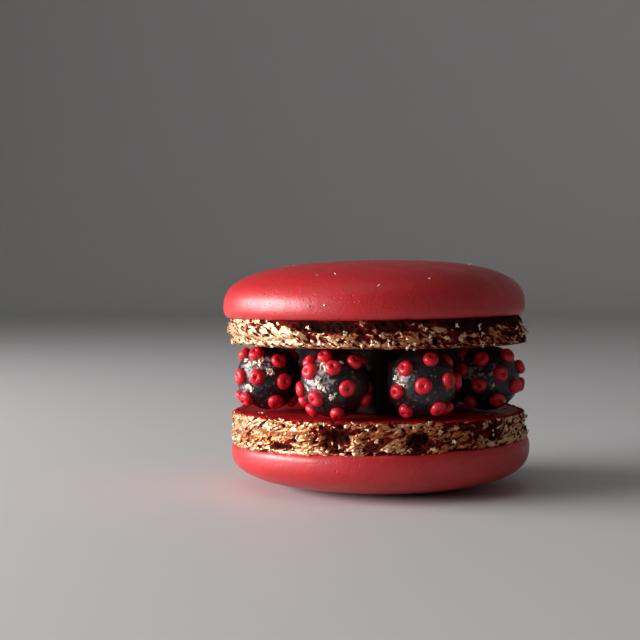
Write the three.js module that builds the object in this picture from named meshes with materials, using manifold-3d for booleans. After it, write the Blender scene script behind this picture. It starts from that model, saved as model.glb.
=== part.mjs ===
// A filled French macaron: two domed almond shells, each baked in one piece with its frilled foot, and
// between their flat faces a ring of dark truffle balls studded with dimpled pearls, round a ganache core.
// Millimetres, +Z up, the origin on the table under the middle of the macaron, the front towards -Y.

import * as THREE from "three";
import { ImprovedNoise } from "three/addons/math/ImprovedNoise.js";
import { mergeVertices } from "three/addons/utils/BufferGeometryUtils.js";
import Module from "manifold-3d";

// Driving dimensions. A shell is described cap up, with the rim of its foot at height 0.
const LOWER_SHELL = {
  name: "lower_shell",
  rimHeight: 11.6, // above the table; this shell lies cap down
  capDown: true,
  footShift: 0.1,
  footLean: 0.065, // towards +X for each mm of height
  capShift: 0.5,
  capTilt: 0,
  capRadius: 22.4,
  capRise: 6.05, // from the widest ring to the apex
  capBluntness: 2.65, // 2 is an ellipse, more is squarer
  widestHeight: 5.7,
  flatHeight: 11.6, // the apex is pressed flat here, so that the macaron stands
  lipHeight: 4.5,
  lipInset: 0.6,
  lipLean: 0.6, // how much nearer the rim the lip is at +X; fades towards the apex and the rim
  faceDish: 0.35, // how far the flat face sinks inside its rim
  footBands: [
    [21.7, 0],
    [22.05, 0.4],
    [22.1, 1.5],
    [21.75, 2.5],
    [22.3, 3.3],
    [22.45, 4.3],
    [21.4, 5.4],
  ],
};
const UPPER_SHELL = {
  name: "upper_shell",
  rimHeight: 21.45,
  capDown: false,
  footShift: 0.3,
  footLean: -0.14,
  capShift: -0.5,
  capTilt: 1, // degrees, right side up
  capRadius: 22.6,
  capRise: 7.1,
  capBluntness: 2.65,
  widestHeight: 5.35,
  flatHeight: 12.45,
  lipHeight: 3.85,
  lipInset: 0.8,
  lipLean: 0,
  faceDish: 0.1,
  footBands: [
    [21.7, 0],
    [22.35, 0.4],
    [22.1, 1.1],
    [22.5, 1.75],
    [22.45, 2.3],
    [22.2, 3.1],
    [21.7, 4.1],
  ],
};
const DISH_RADIUS = 20.7;
const DISH_EDGE = 0.5;
const FOOT_SINK = 0.6; // how far a foot runs up inside its cap
const FRILL_INSIDE = 21.5; // a foot is frilled outside this radius
const FRILLS = [
  { depth: 0.5, size: 3.3 },
  { depth: 0.35, size: 1.7 },
];
const CAP_SWELL = 0.24; // slow unevenness of a cap
const CAP_SWELL_SIZE = 11;

const BALL_RADIUS = 4.8;
const BALL_HEIGHT = 16.35;
const RING_RADIUS = 16.5;
const RING_SHIFT = 0.1;
const BALL_SWELL = 0.1;
const BALL_SWELL_SIZE = 2.6;

const PEARL_RADIUS = 1.2;
const PEARL_PROUD = 0.88; // the brim of a pearl's dimple above its ball
const PEARL_BRIM_RADIUS = 0.64;
const PEARL_WIDEST_HEIGHT = 0.25;
const PEARL_DIMPLE = 0.24;
const PEARL_BURIED = 0.5;
const PEARL_SPACING = 38; // degrees, seen from the ball's centre
const PEARL_STEEPEST = 49; // above or below the ball's equator
const PEARL_CLEARANCE = 0.4; // from another ball and its pearls
const SPIRAL_STEPS = 233; // directions tried round each ball
const SPIRAL_STRIDE = 89;
const SPIRAL_BALL_OFFSET = 31;
const GOLDEN_ANGLE = 137.50776;

const CORE_BASE = 11.55;
const CORE_TOP = 21.25;
const CORE_REACH = 13.2; // between two balls, where the ganache is pressed out
const CORE_CLEARANCE = 0.4;
const CORE_BULGE = 0.5;

const CAP_SEGMENTS = 56;
const CAP_ROWS = 7;
const LIP_ROWS = 2;
const FOOT_SEGMENTS = 84;
const BALL_DETAIL = 2;
const PEARL_SEGMENTS = 6;
const CORE_SEGMENTS = 63;
const CORE_ROWS = 2;

// The balls of the ring by the direction of their centre, in degrees from the front towards +X. The
// pearls that face the front are placed one by one, as [turn, tilt] in degrees from the front and from
// the level. The spiral fills a ball between two turns: all round, or only away from the front.
const ALL_ROUND = [0, 360];
const BALLS = [
  {
    turn: -78,
    filled: [60, 235],
    pearls: [[-87, 43], [-28, 46], [24, 32], [-53, 3], [-16, 4], [31, -4], [-84, -35], [-50, -37], [20, -43]],
  },
  {
    turn: -21,
    filled: [95, 235],
    pearls: [
      [-66, 38], [-48, 22], [-25, 50], [-2, 29], [45, 39], [-74, -9],
      [-95, -30], [-33, -21], [21, -4], [-74, -49], [7, -51], [73, -27],
    ],
  },
  {
    turn: 21.5,
    filled: [60, 235],
    pearls: [[-31, 28], [20, 45], [-43, -10], [2, 0], [47, 7], [-38, -46], [36, -40]],
  },
  { turn: 80, filled: ALL_ROUND, pearls: [[85, 19], [52, -12], [95, -12]] },
  { turn: 130, filled: ALL_ROUND, pearls: [] },
  { turn: 180, filled: ALL_ROUND, pearls: [] },
  { turn: -130, filled: ALL_ROUND, pearls: [] },
];

const RED = new THREE.MeshStandardMaterial({ color: 0xb8232f, roughness: 0.42, metalness: 0 });
const DARK = new THREE.MeshStandardMaterial({ color: 0x1a181c, roughness: 0.4, metalness: 0 });
const GANACHE = new THREE.MeshStandardMaterial({ color: 0x140c0c, roughness: 0.5, metalness: 0 });

const wasm = await Module();
wasm.setup();
const noise = new ImprovedNoise();
const radians = THREE.MathUtils.degToRad;

function solidOf(geometry) {
  const bare = geometry.clone();
  bare.deleteAttribute("normal");
  bare.deleteAttribute("uv");
  const merged = mergeVertices(bare, 1e-3);
  return new wasm.Manifold(
    new wasm.Mesh({
      numProp: 3,
      vertProperties: merged.attributes.position.array,
      triVerts: new Uint32Array(mergedIndex(merged)),
    }),
  );
}

// The triangles of a merged geometry, without those that closed up on a pole.
function mergedIndex(geometry) {
  const index = geometry.index.array;
  const kept = [];
  for (let i = 0; i < index.length; i += 3) {
    const [a, b, c] = [index[i], index[i + 1], index[i + 2]];
    if (a !== b && b !== c && c !== a) kept.push(a, b, c);
  }
  return kept;
}

function geometryOf(solid) {
  const { vertProperties, triVerts } = solid.getMesh();
  const geometry = new THREE.BufferGeometry()
    .setAttribute("position", new THREE.BufferAttribute(vertProperties, 3))
    .setIndex(new THREE.BufferAttribute(triVerts, 1));
  geometry.computeVertexNormals();
  return geometry;
}

// A solid turned about Z from a profile of [radius, height] that starts and ends on the axis, top last.
function turned(profile, segments) {
  const points = profile.map(([radius, height]) => new THREE.Vector2(radius, height));
  return new THREE.LatheGeometry(points, segments).rotateX(Math.PI / 2);
}

// Moves every vertex by what change(point) adds to it.
function reshaped(geometry, change) {
  const position = geometry.attributes.position;
  const point = new THREE.Vector3();
  for (let i = 0; i < position.count; i++) {
    point.fromBufferAttribute(position, i);
    point.add(change(point.clone()));
    position.setXYZ(i, point.x, point.y, point.z);
  }
  return geometry;
}

function noiseAt(point, size, seed) {
  return noise.noise(point.x / size + seed, point.y / size, point.z / size);
}

// A quarter superellipse from its widest ring at height 0 to its apex on the axis.
function quarterProfile(radius, rise, bluntness, rows) {
  return Array.from({ length: rows + 1 }, (_, i) => {
    const t = (i / rows) * (Math.PI / 2);
    return [radius * Math.cos(t) ** (2 / bluntness), rise * Math.sin(t) ** (2 / bluntness)];
  });
}

// The domed cap, with a lip that rounds in under its widest ring.
function capGeometry(shell) {
  const lipDrop = shell.widestHeight - shell.lipHeight;
  const lip = quarterProfile(1, lipDrop, 2, LIP_ROWS)
    .slice(1)
    .reverse()
    .map(([share, drop]) => [shell.capRadius - shell.lipInset * (1 - share), shell.widestHeight - drop]);
  const dome = quarterProfile(shell.capRadius, shell.capRise, shell.capBluntness, CAP_ROWS)
    .slice(0, -1)
    .map(([radius, rise]) => [radius, Math.min(shell.widestHeight + rise, shell.flatHeight)]);
  const apex = Math.min(shell.widestHeight + shell.capRise, shell.flatHeight);
  const profile = [[0, shell.lipHeight], ...lip, ...dome, [0, apex]];
  const cap = reshaped(turned(profile, CAP_SEGMENTS), (point) => {
    const side = new THREE.Vector3(point.x, point.y, 0).divideScalar(shell.capRadius);
    const belowApex = (apex - point.z) / (apex - shell.lipHeight);
    const lean = -shell.lipLean * side.x * belowApex;
    const swell = CAP_SWELL * noiseAt(point, CAP_SWELL_SIZE, shell.rimHeight);
    return side.multiplyScalar(swell).setZ(lean);
  });
  return cap.rotateY(radians(-shell.capTilt)).translate(shell.capShift, 0, 0);
}

// The foot: a disc with a dished face below and bands of frill round its side.
function footGeometry(shell) {
  const [topRadius, topHeight] = shell.footBands.at(-1);
  const profile = [
    [0, shell.faceDish],
    [DISH_RADIUS, shell.faceDish],
    [DISH_RADIUS + DISH_EDGE, 0],
    ...shell.footBands,
    [topRadius - FOOT_SINK, topHeight + FOOT_SINK],
    [0, topHeight + FOOT_SINK],
  ];
  const foot = reshaped(turned(profile, FOOT_SEGMENTS), (point) => {
    const drop = (shell.lipLean * point.x * point.z) / (shell.capRadius * shell.lipHeight);
    const lean = new THREE.Vector3(shell.footLean * point.z, 0, -drop);
    const radius = Math.hypot(point.x, point.y);
    if (radius < FRILL_INSIDE) return lean;
    const frills = FRILLS.map(({ depth, size }) => depth * noiseAt(point, size, shell.rimHeight));
    const frill = frills.reduce((sum, each) => sum + each);
    return new THREE.Vector3(point.x, point.y, 0).multiplyScalar(frill / radius).add(lean);
  });
  return foot.translate(shell.footShift, 0, 0);
}

function makeShell(shell) {
  const solid = solidOf(capGeometry(shell)).add(solidOf(footGeometry(shell)));
  const mesh = new THREE.Mesh(geometryOf(solid), RED);
  mesh.name = shell.name;
  mesh.position.z = shell.rimHeight;
  if (shell.capDown) mesh.rotation.x = Math.PI;
  return mesh;
}

// A unit vector from a turn about Z, counted from the front, and a tilt above the level, in degrees.
function direction([turn, tilt]) {
  const level = Math.cos(radians(tilt));
  return new THREE.Vector3(
    level * Math.sin(radians(turn)),
    -level * Math.cos(radians(turn)),
    Math.sin(radians(tilt)),
  );
}

// The turn of a direction, from 0 to 360.
function turnOf(way) {
  return (THREE.MathUtils.radToDeg(Math.atan2(way.x, -way.y)) + 360) % 360;
}

function ballCentre(ball) {
  const ringCentre = new THREE.Vector3(RING_SHIFT, 0, BALL_HEIGHT);
  return direction([ball.turn, 0]).multiplyScalar(RING_RADIUS).add(ringCentre);
}

// Even directions over a sphere on the golden-angle spiral, shuffled by a stride so that they don't
// arrive in order of height.
function spiralDirections(start) {
  return Array.from({ length: SPIRAL_STEPS }, (_, i) => {
    const step = (i * SPIRAL_STRIDE + start) % SPIRAL_STEPS;
    const height = 1 - (2 * step + 1) / SPIRAL_STEPS;
    return direction([step * GOLDEN_ANGLE, THREE.MathUtils.radToDeg(Math.asin(height))]);
  });
}

// The pearls of each ball: the placed ones, then every spiral direction that keeps its distance from
// them, from the shells' faces and from the neighbouring balls.
function placePearls() {
  const centres = BALLS.map(ballCentre);
  const pearls = BALLS.map((ball) => ball.pearls.map(direction));
  const pearlPoint = (k, way) => way.clone().multiplyScalar(BALL_RADIUS).add(centres[k]);
  const clearOfBall = BALL_RADIUS + PEARL_RADIUS + PEARL_CLEARANCE;
  const clearOfPearl = 2 * PEARL_RADIUS + PEARL_CLEARANCE;
  const clearOfOthers = (k, way) => {
    const point = pearlPoint(k, way);
    return BALLS.every((_, other) => {
      if (other === k) return true;
      if (point.distanceTo(centres[other]) < clearOfBall) return false;
      return pearls[other].every((taken) => point.distanceTo(pearlPoint(other, taken)) > clearOfPearl);
    });
  };
  BALLS.forEach(({ filled: [from, to] }, k) => {
    for (const way of spiralDirections(k * SPIRAL_BALL_OFFSET)) {
      const steep = Math.abs(way.z) > Math.sin(radians(PEARL_STEEPEST));
      const crowded = pearls[k].some((taken) => taken.angleTo(way) < radians(PEARL_SPACING));
      const filled = turnOf(way) >= from && turnOf(way) <= to;
      if (filled && !steep && !crowded && clearOfOthers(k, way)) pearls[k].push(way);
    }
  });
  return pearls;
}

// One dimpled pearl, its axis along Z and its ball's surface at height 0.
function pearlGeometry() {
  const profile = [
    [0, -PEARL_BURIED],
    [PEARL_RADIUS, PEARL_WIDEST_HEIGHT],
    [PEARL_BRIM_RADIUS, PEARL_PROUD],
    [0, PEARL_PROUD - PEARL_DIMPLE],
  ];
  return turned(profile, PEARL_SEGMENTS);
}

function makeBall(ball, ways, k) {
  const core = reshaped(new THREE.IcosahedronGeometry(BALL_RADIUS, BALL_DETAIL), (point) =>
    point.clone().multiplyScalar((BALL_SWELL / BALL_RADIUS) * noiseAt(point, BALL_SWELL_SIZE, 7 * k)),
  );
  const up = new THREE.Vector3(0, 0, 1);
  const solid = ways.reduce((joined, way) => {
    const pearl = pearlGeometry()
      .applyQuaternion(new THREE.Quaternion().setFromUnitVectors(up, way))
      .translate(...way.clone().multiplyScalar(BALL_RADIUS));
    return joined.add(solidOf(pearl));
  }, solidOf(core));
  const mesh = new THREE.Mesh(geometryOf(solid), DARK);
  mesh.name = "truffle_" + (k + 1);
  mesh.position.copy(ballCentre(ball));
  return mesh;
}

// How far the ganache comes out in one direction: to the nearest ball, or to its reach between two.
function coreRadius(turn) {
  const way = direction([turn, 0]);
  const keepOut = BALL_RADIUS + PEARL_PROUD + CORE_CLEARANCE;
  return BALLS.reduce((radius, ball) => {
    const centre = direction([ball.turn, 0]).multiplyScalar(RING_RADIUS);
    const along = centre.dot(way);
    const aside = RING_RADIUS ** 2 - along ** 2;
    if (along < 0 || aside > keepOut ** 2) return radius;
    return Math.min(radius, along - Math.sqrt(keepOut ** 2 - aside));
  }, CORE_REACH);
}

// The ganache in the middle: a round drum of radius 1 pushed out to its radius in each direction.
function makeCore() {
  const height = CORE_TOP - CORE_BASE;
  const wall = Array.from({ length: CORE_ROWS + 1 }, (_, i) => [1, CORE_BASE + (i / CORE_ROWS) * height]);
  const profile = [[0, CORE_BASE], ...wall, [0, CORE_TOP]];
  const core = reshaped(turned(profile, CORE_SEGMENTS), (point) => {
    const turn = THREE.MathUtils.radToDeg(Math.atan2(point.x, -point.y));
    const waist = CORE_BULGE * (1 - Math.sin((Math.PI * (point.z - CORE_BASE)) / height));
    return new THREE.Vector3(point.x, point.y, 0).multiplyScalar(coreRadius(turn) - waist - 1);
  });
  const mesh = new THREE.Mesh(geometryOf(solidOf(core)), GANACHE);
  mesh.name = "ganache_core";
  mesh.position.x = RING_SHIFT;
  return mesh;
}

const filling = new THREE.Group();
const pearlWays = placePearls();
filling.add(makeCore(), ...BALLS.map((ball, k) => makeBall(ball, pearlWays[k], k)));

const macaron = new THREE.Group();
macaron.add(makeShell(LOWER_SHELL), filling, makeShell(UPPER_SHELL));
const middle = new THREE.Box3().setFromObject(macaron).getCenter(new THREE.Vector3());
macaron.position.set(-middle.x, -middle.y, 0);

export default macaron;
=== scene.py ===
"""A filled French macaron: two baked almond shells, gold leaf on their frilled feet, and a ring of dark
truffle balls studded with dimpled sugar pearls between them.

Shapes are worked out in millimetres and become metres when a mesh is made. +Z is up, -Y is the front.
"""

import math
import random

import bmesh
import bpy
import numpy as np
from mathutils import Matrix, Vector, noise


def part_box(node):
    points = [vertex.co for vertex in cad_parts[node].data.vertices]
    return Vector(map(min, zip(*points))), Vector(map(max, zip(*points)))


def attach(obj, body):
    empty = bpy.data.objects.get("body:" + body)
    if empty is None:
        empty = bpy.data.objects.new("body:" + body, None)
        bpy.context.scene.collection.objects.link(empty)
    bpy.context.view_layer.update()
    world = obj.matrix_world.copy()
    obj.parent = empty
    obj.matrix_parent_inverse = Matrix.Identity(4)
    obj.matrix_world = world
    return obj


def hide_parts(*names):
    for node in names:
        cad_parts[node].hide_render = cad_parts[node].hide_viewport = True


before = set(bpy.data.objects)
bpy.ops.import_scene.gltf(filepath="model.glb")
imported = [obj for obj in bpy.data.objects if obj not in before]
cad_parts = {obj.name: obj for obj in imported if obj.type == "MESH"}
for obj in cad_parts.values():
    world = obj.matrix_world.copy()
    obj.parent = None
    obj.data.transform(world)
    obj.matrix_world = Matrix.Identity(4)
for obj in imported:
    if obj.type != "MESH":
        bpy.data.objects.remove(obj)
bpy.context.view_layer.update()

MM = 0.001

# The shells. Heights are above a shell's own rim, cap up; the frame says where the rim is. A shift or a
# foot's lean is towards +X, a tilt lifts that side, in degrees, and a lip's lean brings it nearer the rim
# there. Bands run up the foot as (radius, height). A spot on a foot is its turn from the front, its height,
# half its width in degrees and half its height, and a hollow has its depth as well. Leaf holds better
# where it is covered, and is copper rather than pale where it is coppered.
LOWER_SHELL = {
    "name": "lower",
    "node": "lower_shell",
    "cap_down": True,
    "foot_shift": 0.1,
    "foot_lean": 0.065,
    "foot_tilt": 0.0,
    "foot_drop": 0.0,
    "cap_shift": 0.5,
    "cap_tilt": 0.0,
    "cap_radius": 22.4,
    "cap_rise": 6.05,
    "cap_bluntness": 2.65,
    "widest": 5.7,
    "lip_height": 4.5,
    "lip_inset": 0.6,
    "lip_lean": 0.6,
    "lip_lift": 0.0,
    "face_dish": 0.35,
    "bands": [(22.05, 0.4), (22.1, 1.5), (21.75, 2.5), (22.3, 3.3), (22.45, 4.3), (21.4, 5.4)],
    "leaf_from": 1.15,
    "bare_above": 4.6,
    "leaf_cover": 0.68,
    "leaf_paleness": -0.04,
    "leaf_folds": 0.10,
    "hollows": [
        (-92, 1.1, 8.0, 1.3, 0.2), (-15.5, 3.1, 4.0, 1.3, 0.55), (-38.5, 3.6, 4.0, 0.5, 0.55),
        (-31.5, 3.9, 4.5, 0.3, 0.45), (-40.5, 0.9, 3.5, 0.35, 0.4), (-2.5, 3.5, 4.0, 0.8, 0.5),
        (14, 2.8, 3.5, 1.1, 0.4), (47, 2.4, 5.0, 1.0, 0.4), (96, 3.6, 6.0, 0.8, 0.4),
        (143, 2.2, 6.0, 0.9, 0.5), (-171, 3.8, 5.0, 0.6, 0.5), (-128, 2.6, 6.0, 0.9, 0.4),
        (52, 2.4, 26.0, 3.0, 0.10),
    ],
    "covered": [
        (-76, 2.6, 22, 3.4), (-42, 1.6, 14, 0.8), (-30, 4.3, 12, 0.6), (-24, 3.7, 6, 0.6),
        (-8, 3.4, 4, 1.0), (58, 4.0, 14, 1.4), (120, 3.0, 14, 2.0),
    ],
    "coppered": [
        (-95, 1.2, 12, 1.6), (-57, 2.9, 7, 0.7), (-44, 2.8, 8, 0.8), (-27, 2.3, 12, 1.2),
        (-3, 1.8, 9, 1.0), (28, 2.6, 12, 2.0), (165, 2.6, 20, 2.0), (-120, 2.6, 18, 1.6),
    ],
    "seed": 3.7,
}
UPPER_SHELL = {
    "name": "upper",
    "node": "upper_shell",
    "cap_down": False,
    "foot_shift": 0.3,
    "foot_lean": -0.14,
    "foot_tilt": 0.25,
    "foot_drop": 0.12,
    "cap_shift": -0.5,
    "cap_tilt": 1.0,
    "cap_radius": 22.6,
    "cap_rise": 6.95,
    "cap_bluntness": 2.65,
    "widest": 5.35,
    "lip_height": 3.85,
    "lip_inset": 0.8,
    "lip_lean": 0.0,
    "lip_lift": 0.25,
    "face_dish": 0.1,
    "bands": [(22.35, 0.4), (22.1, 1.1), (22.5, 1.75), (22.45, 2.3), (22.2, 3.1), (21.7, 4.1)],
    "leaf_from": 0.15,
    "bare_above": 2.9,
    "leaf_cover": 0.61,
    "leaf_paleness": 0.15,
    "leaf_folds": 0.07,
    "hollows": [
        (-19, 3.1, 9.0, 0.55, 0.6), (-24.5, 1.4, 2.5, 0.8, 0.45), (6, 3.0, 9.0, 0.6, 0.5),
        (-5.5, 1.2, 2.5, 0.9, 0.4), (40, 2.9, 8.0, 0.7, 0.4), (88, 2.6, 9.0, 0.7, 0.5),
        (137, 3.0, 9.0, 0.6, 0.5), (-165, 2.8, 8.0, 0.7, 0.5), (-118, 3.1, 7.0, 0.6, 0.4),
        (50, 2.0, 30.0, 3.0, 0.12),
    ],
    "covered": [
        (-68, 2.0, 30, 2.6), (-72, 3.5, 24, 0.9), (-30, 0.9, 20, 1.1), (-13, 0.8, 8, 0.8),
        (108, 1.6, 24, 1.4), (-140, 1.4, 20, 1.4),
    ],
    "coppered": [(-9, 2.2, 6, 1.3), (12, 1.4, 9, 1.3), (48, 1.4, 14, 1.4), (170, 1.6, 22, 1.6)],
    "seed": 11.3,
}
FACE_RADIUS = 20.7
FACE_OVERLAP = 0.35
FACE_THICKNESS = 1.5
FACE_CENTRE = 0.6
FACE_ROWS = 46
FACE_COLUMNS = 240
FACE_DENTS = [(0.03, 4.0, 0), (0.018, 1.3, 0)]

CAP_COLUMNS = 420
CAP_ROWS = 92
CAP_SWELL = 0.2
CAP_SWELL_SIZE = 11.0
CAP_DENTS = [(0.03, 2.6, 5), (0.012, 1.1, 6)]
DOME_SAMPLES = 400
UNDERSIDE_ROWS = 8
UNDERSIDE_CENTRE = 2.0
UNDERSIDE_GAP = 0.3
LIP_ROWS = 14
LIP_INSIDE = 19.0
LIP_TOP = 0.6  # the lip ends this far above the widest ring
LIP_FADE = 1.6
LIP_WAVE = 0.16
LIP_WAVE_SIZE = 3.2

FOOT_COLUMNS = 1080
FOOT_STEP = 0.135
FOOT_SINK = 0.6  # up inside its cap
FOOT_TUCK = 0.4  # in over its face
RIM_RADIUS = 21.7
RIM_EDGE = 0.5
RIM_EDGE_HEIGHT = 0.02

# The crumb of a foot and the leaf on it: how deep each kind of relief is, and how large.
CRUMB_STRETCH = (1, 1, 1.5)
BUBBLE_DEPTH = 0.20
BUBBLE_SIZE = 1.7
CLUMP_DEPTH = 0.18
CLUMP_SIZE = 2.6
GAP_DEPTH = 1.5
GAP_SIZE = 0.95
GAP_FROM = 0.26
WARP_SIZE = 0.8
FLAKE_STRETCH = (0.8, 0.8, 1.3)
FLAKE_DEPTH = 0.08
FLAKE_SIZE = 0.66
FLAKE_EDGE = 0.16
CRACK_DEPTH = 0.05
CREASE_DEPTH = 0.03
CREASE_SIZE = 0.40
CREASE_EDGE = 0.2
STREAK_STRETCH = (0.55, 0.55, 1.9)
STREAK_SLANT = 0.35
STREAK_DRIFT = 0.9
STREAK_DRIFT_SIZE = 2.8
FOLD_SIZE = 1.0
TEAR_SIZE = 1.9
RELIEF_LIMIT = 0.34
RELIEF_SINK = 0.08
RELIEF_FROM = 0.3  # outside the face
RELIEF_FADE = 0.6
LOWEST_CRAG = -0.12
SPOT_REACH = 1.6
SPOT_RAGGED = 0.45
SPOT_RAGGED_SIZE = 0.9
LEAF_EDGE = 0.25
LEAF_EDGE_WAVE = 0.16
LEAF_EDGE_WAVE_SIZE = 0.8
UNDER_LIP_FADE = 0.9
BAKED_BELOW = 1

# How much each thing helps the leaf to hold, and how much it pales the leaf. Where the leaf holds least, in
# the hollows and gaps and under the lip, the bare crumb is painted near black as shade; along the cracks
# between facets, which are grooves, the gold is painted a shaded copper.
HOLD_BY = {"bubbles": 1.1, "flakes": 0.08, "creases": 1.6, "folds": 0.8, "gaps": 1.2, "torn": 0.65,
           "cracks": -0.16, "under_lip": -0.4, "covered": 0.42, "hollow": -1.2}
PALE_BY = {"shade": 0.5, "covered": 0.35, "coppered": -0.75, "cracks": -0.25}

# The ring of truffle balls, by the direction of each centre from the front towards +X. The pearls that
# face the front are placed one by one, as (turn, tilt, size): degrees from the front and from the level,
# and a share of the full radius. The spiral fills a ball between two turns: all round, or only away
# from the front.
BALL_RADIUS = 4.8
BALL_HEIGHT = 16.35
RING_RADIUS = 16.5
RING_SHIFT = 0.1
ALL_ROUND = (0, 360)
BALLS = [
    (-78, (60, 235), [
        (-87, 43, 0.9), (-28, 46, 0.96), (24, 32, 0.94), (-53, 3, 1.0), (-16, 4, 1.0),
        (31, -4, 1.0), (-84, -35, 0.9), (-50, -37, 1.0), (20, -43, 1.02),
    ]),
    (-21, (95, 235), [
        (-66, 38, 0.82), (-48, 22, 1.04), (-25, 50, 0.9), (-2, 29, 0.94), (45, 39, 0.9), (-74, -9, 0.94),
        (-95, -30, 0.8), (-33, -21, 1.0), (21, -4, 0.98), (-74, -49, 0.9), (7, -51, 0.86), (73, -27, 0.9),
    ]),
    (21.5, (60, 235), [
        (-31, 28, 0.94), (20, 45, 0.9), (-43, -10, 0.9), (2, 0, 1.0), (47, 7, 0.94), (-38, -46, 0.9),
        (36, -40, 0.96),
    ]),
    (80, ALL_ROUND, [(85, 19, 0.95), (52, -12, 0.95), (95, -12, 0.95)]),
    (130, ALL_ROUND, []),
    (180, ALL_ROUND, []),
    (-130, ALL_ROUND, []),
]
BALL_NODES = [f"truffle_{k + 1}" for k in range(len(BALLS))]
BALL_LUMPS = [(0.09, 2.4), (0.06, 0.95), (0.015, 0.36)]
WRINKLE_DEPTH = 0.05
WRINKLE_SIZE = 0.75
PIT_DEPTH = 0.17
PIT_SPACING = 0.85
PIT_WIDTH = 0.28
BLOOM_AND_SHEEN_RAGGED = [(0.5, 0.7), (0.25, 0.3)]
BLOOM_AND_SHEEN_REACH = 1.5
BLOOM_AND_SHEEN_GAIN = 1.3
RANDOM_BLOOM_SPOTS = 5

# Grey bloom on the balls, with a painted sheen where the key light's reflection falls on them: ball, turn,
# tilt and half its spread in degrees.
BLOOM_AND_SHEEN_SPOTS = [
    (0, -24, 24, 25), (0, -48, -16, 10), (1, -36, 15, 24), (1, -8, 3, 9), (1, -22, 40, 10),
    (2, -37, 20, 18), (2, -54, -12, 10),
]

# A pearl runs from its dimple out over its brim and down into its ball, as (radius, height).
PEARL_PATH = [
    (0.03, 0.64), (0.10, 0.67), (0.18, 0.82), (0.40, 0.93), (0.80, 0.87),
    (1.10, 0.58), (1.20, 0.20), (1.10, -0.16), (0.80, -0.40), (0.4, -0.48),
]
PEARL_COLUMNS = 28
PEARL_STEP = 0.13
PEARL_BASE = -0.5
PEARL_LEAN = 0.09
PEARL_LOBES = [(0.035, 2), (0.02, 3)]
PUCKER_RADIUS = 0.25
PUCKER_WIDTH = 0.17
PUCKER_DEPTHS = (0.02, 0.06)
PEARL_RADIUS = 1.2
PEARL_SIZES = (0.88, 1.0)
PEARL_SPACING = 38
PEARL_STEEPEST = 49
PEARL_CLEARANCE = 0.4
SPIRAL_STEPS = 233
SPIRAL_STRIDE = 89
SPIRAL_BALL_OFFSET = 31
GOLDEN_ANGLE = 137.50776

# Gold flecks on the balls that face the front: ball, turn, tilt, size.
PLACED_FLECKS = [
    (0, -14, 31, 1.3), (0, 7, 13, 1.2), (0, -32, -15, 1.1), (0, -36, 26, 1.0), (0, -50, 32, 0.7),
    (1, -24, 33, 1.1), (1, -25, 3, 1.3), (1, -21, -8, 1.3), (1, -4, -21, 1.0), (1, 2, -13, 0.4),
    (1, 14, 41, 0.6), (1, -48, -6, 0.6), (2, -35, 2, 1.1), (2, -48, 13, 0.7),
]

# Gold specks on the upper cap as (turn, radius), and flecks on the lower shell's face as (turn, radius,
# size). More are drawn round the back, and on the balls there.
CAP_SPECKS = [(-23.6, 19.06), (-15.6, 18.58), (-16.7, 22.58), (2.4, 21.47), (22.2, 20.47), (-22.7, 22.57)]
CAP_SPECKS_BEHIND = 8
CAP_SPECK_SIZES = (0.28, 0.5)
LEDGE_FLECKS = [(-70, 18.3, 0.9), (-52, 20.1, 0.4)]
LEDGE_FLECKS_BEHIND = 5
BEHIND = (60, 300)  # turns from the front
BALLS_WITH_PLACED_FLECKS = 3
BALL_FLECKS_BEHIND = 7
FLECK_SCRAPS = 6
FLECK_SPREAD = 0.075

# Scraps of leaf on each foot.
FOOT_SCRAPS = 110
FOOT_SCRAP_SIZES = (0.3, 0.8)
FOOT_SCRAP_OFFSETS = (-0.1, 0.08)
FOOT_SCRAP_LIFT = 0.3
FOOT_SCRAPS_BELOW_LIP = 0.6
SCRAP_CELLS = 5
SCRAP_THICKNESS = 0.03
SCRAP_LOBES = [(0.24, 2), (0.2, 3), (0.14, 7)]
SCRAP_FOLDS = 2

CORE_BASE = 11.55
CORE_TOP = 21.25
CORE_REACH = 13.2
CORE_KEEP_OUT = 6.08
CORE_BULGE = 0.5
CORE_ROUNDING = 0.5
CORE_COLUMNS = 240
CORE_ROWS = 34
CORE_BLUR = 3
CORE_UNEVEN = 0.12
CORE_UNEVEN_SIZE = 1.6

# Colours, as a lighter and a darker one where a surface is mottled.
SHELL_RED = ((0.54, 0.008, 0.013, 1), (0.46, 0.006, 0.010, 1))
FACE_RED = ((0.50, 0.010, 0.014, 1), (0.36, 0.006, 0.008, 1))
CRUMB_RED = ((0.19, 0.010, 0.006, 1), (0.05, 0.005, 0.003, 1))
CRUMB_SHADOW = (0.024, 0.004, 0.003, 1)
BAKED_RIM = (0.36, 0.008, 0.010, 1)
PALE_LEAF = ((0.86, 0.565, 0.325, 1), (0.76, 0.425, 0.225, 1))
COPPER_LEAF = ((0.66, 0.26, 0.11, 1), (0.42, 0.12, 0.045, 1))
SCRAP_GOLD = ((0.96, 0.80, 0.56, 1), (0.85, 0.58, 0.33, 1))
# Painted highlight: a paler copy of the scrap gold, for the flecks on the balls that the key light catches.
LIT_FLECK_GOLD = ((0.97, 0.86, 0.68, 1), (0.88, 0.68, 0.47, 1))
PEARL_RED = ((0.76, 0.019, 0.038, 1), (0.57, 0.008, 0.019, 1))
TRUFFLE_DARK = ((0.006, 0.005, 0.006, 1), (0.013, 0.011, 0.013, 1))
# Painted shade: the pores on the balls are this near black.
TRUFFLE_PIT_SHADE = (0.004, 0.003, 0.004, 1)
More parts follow.
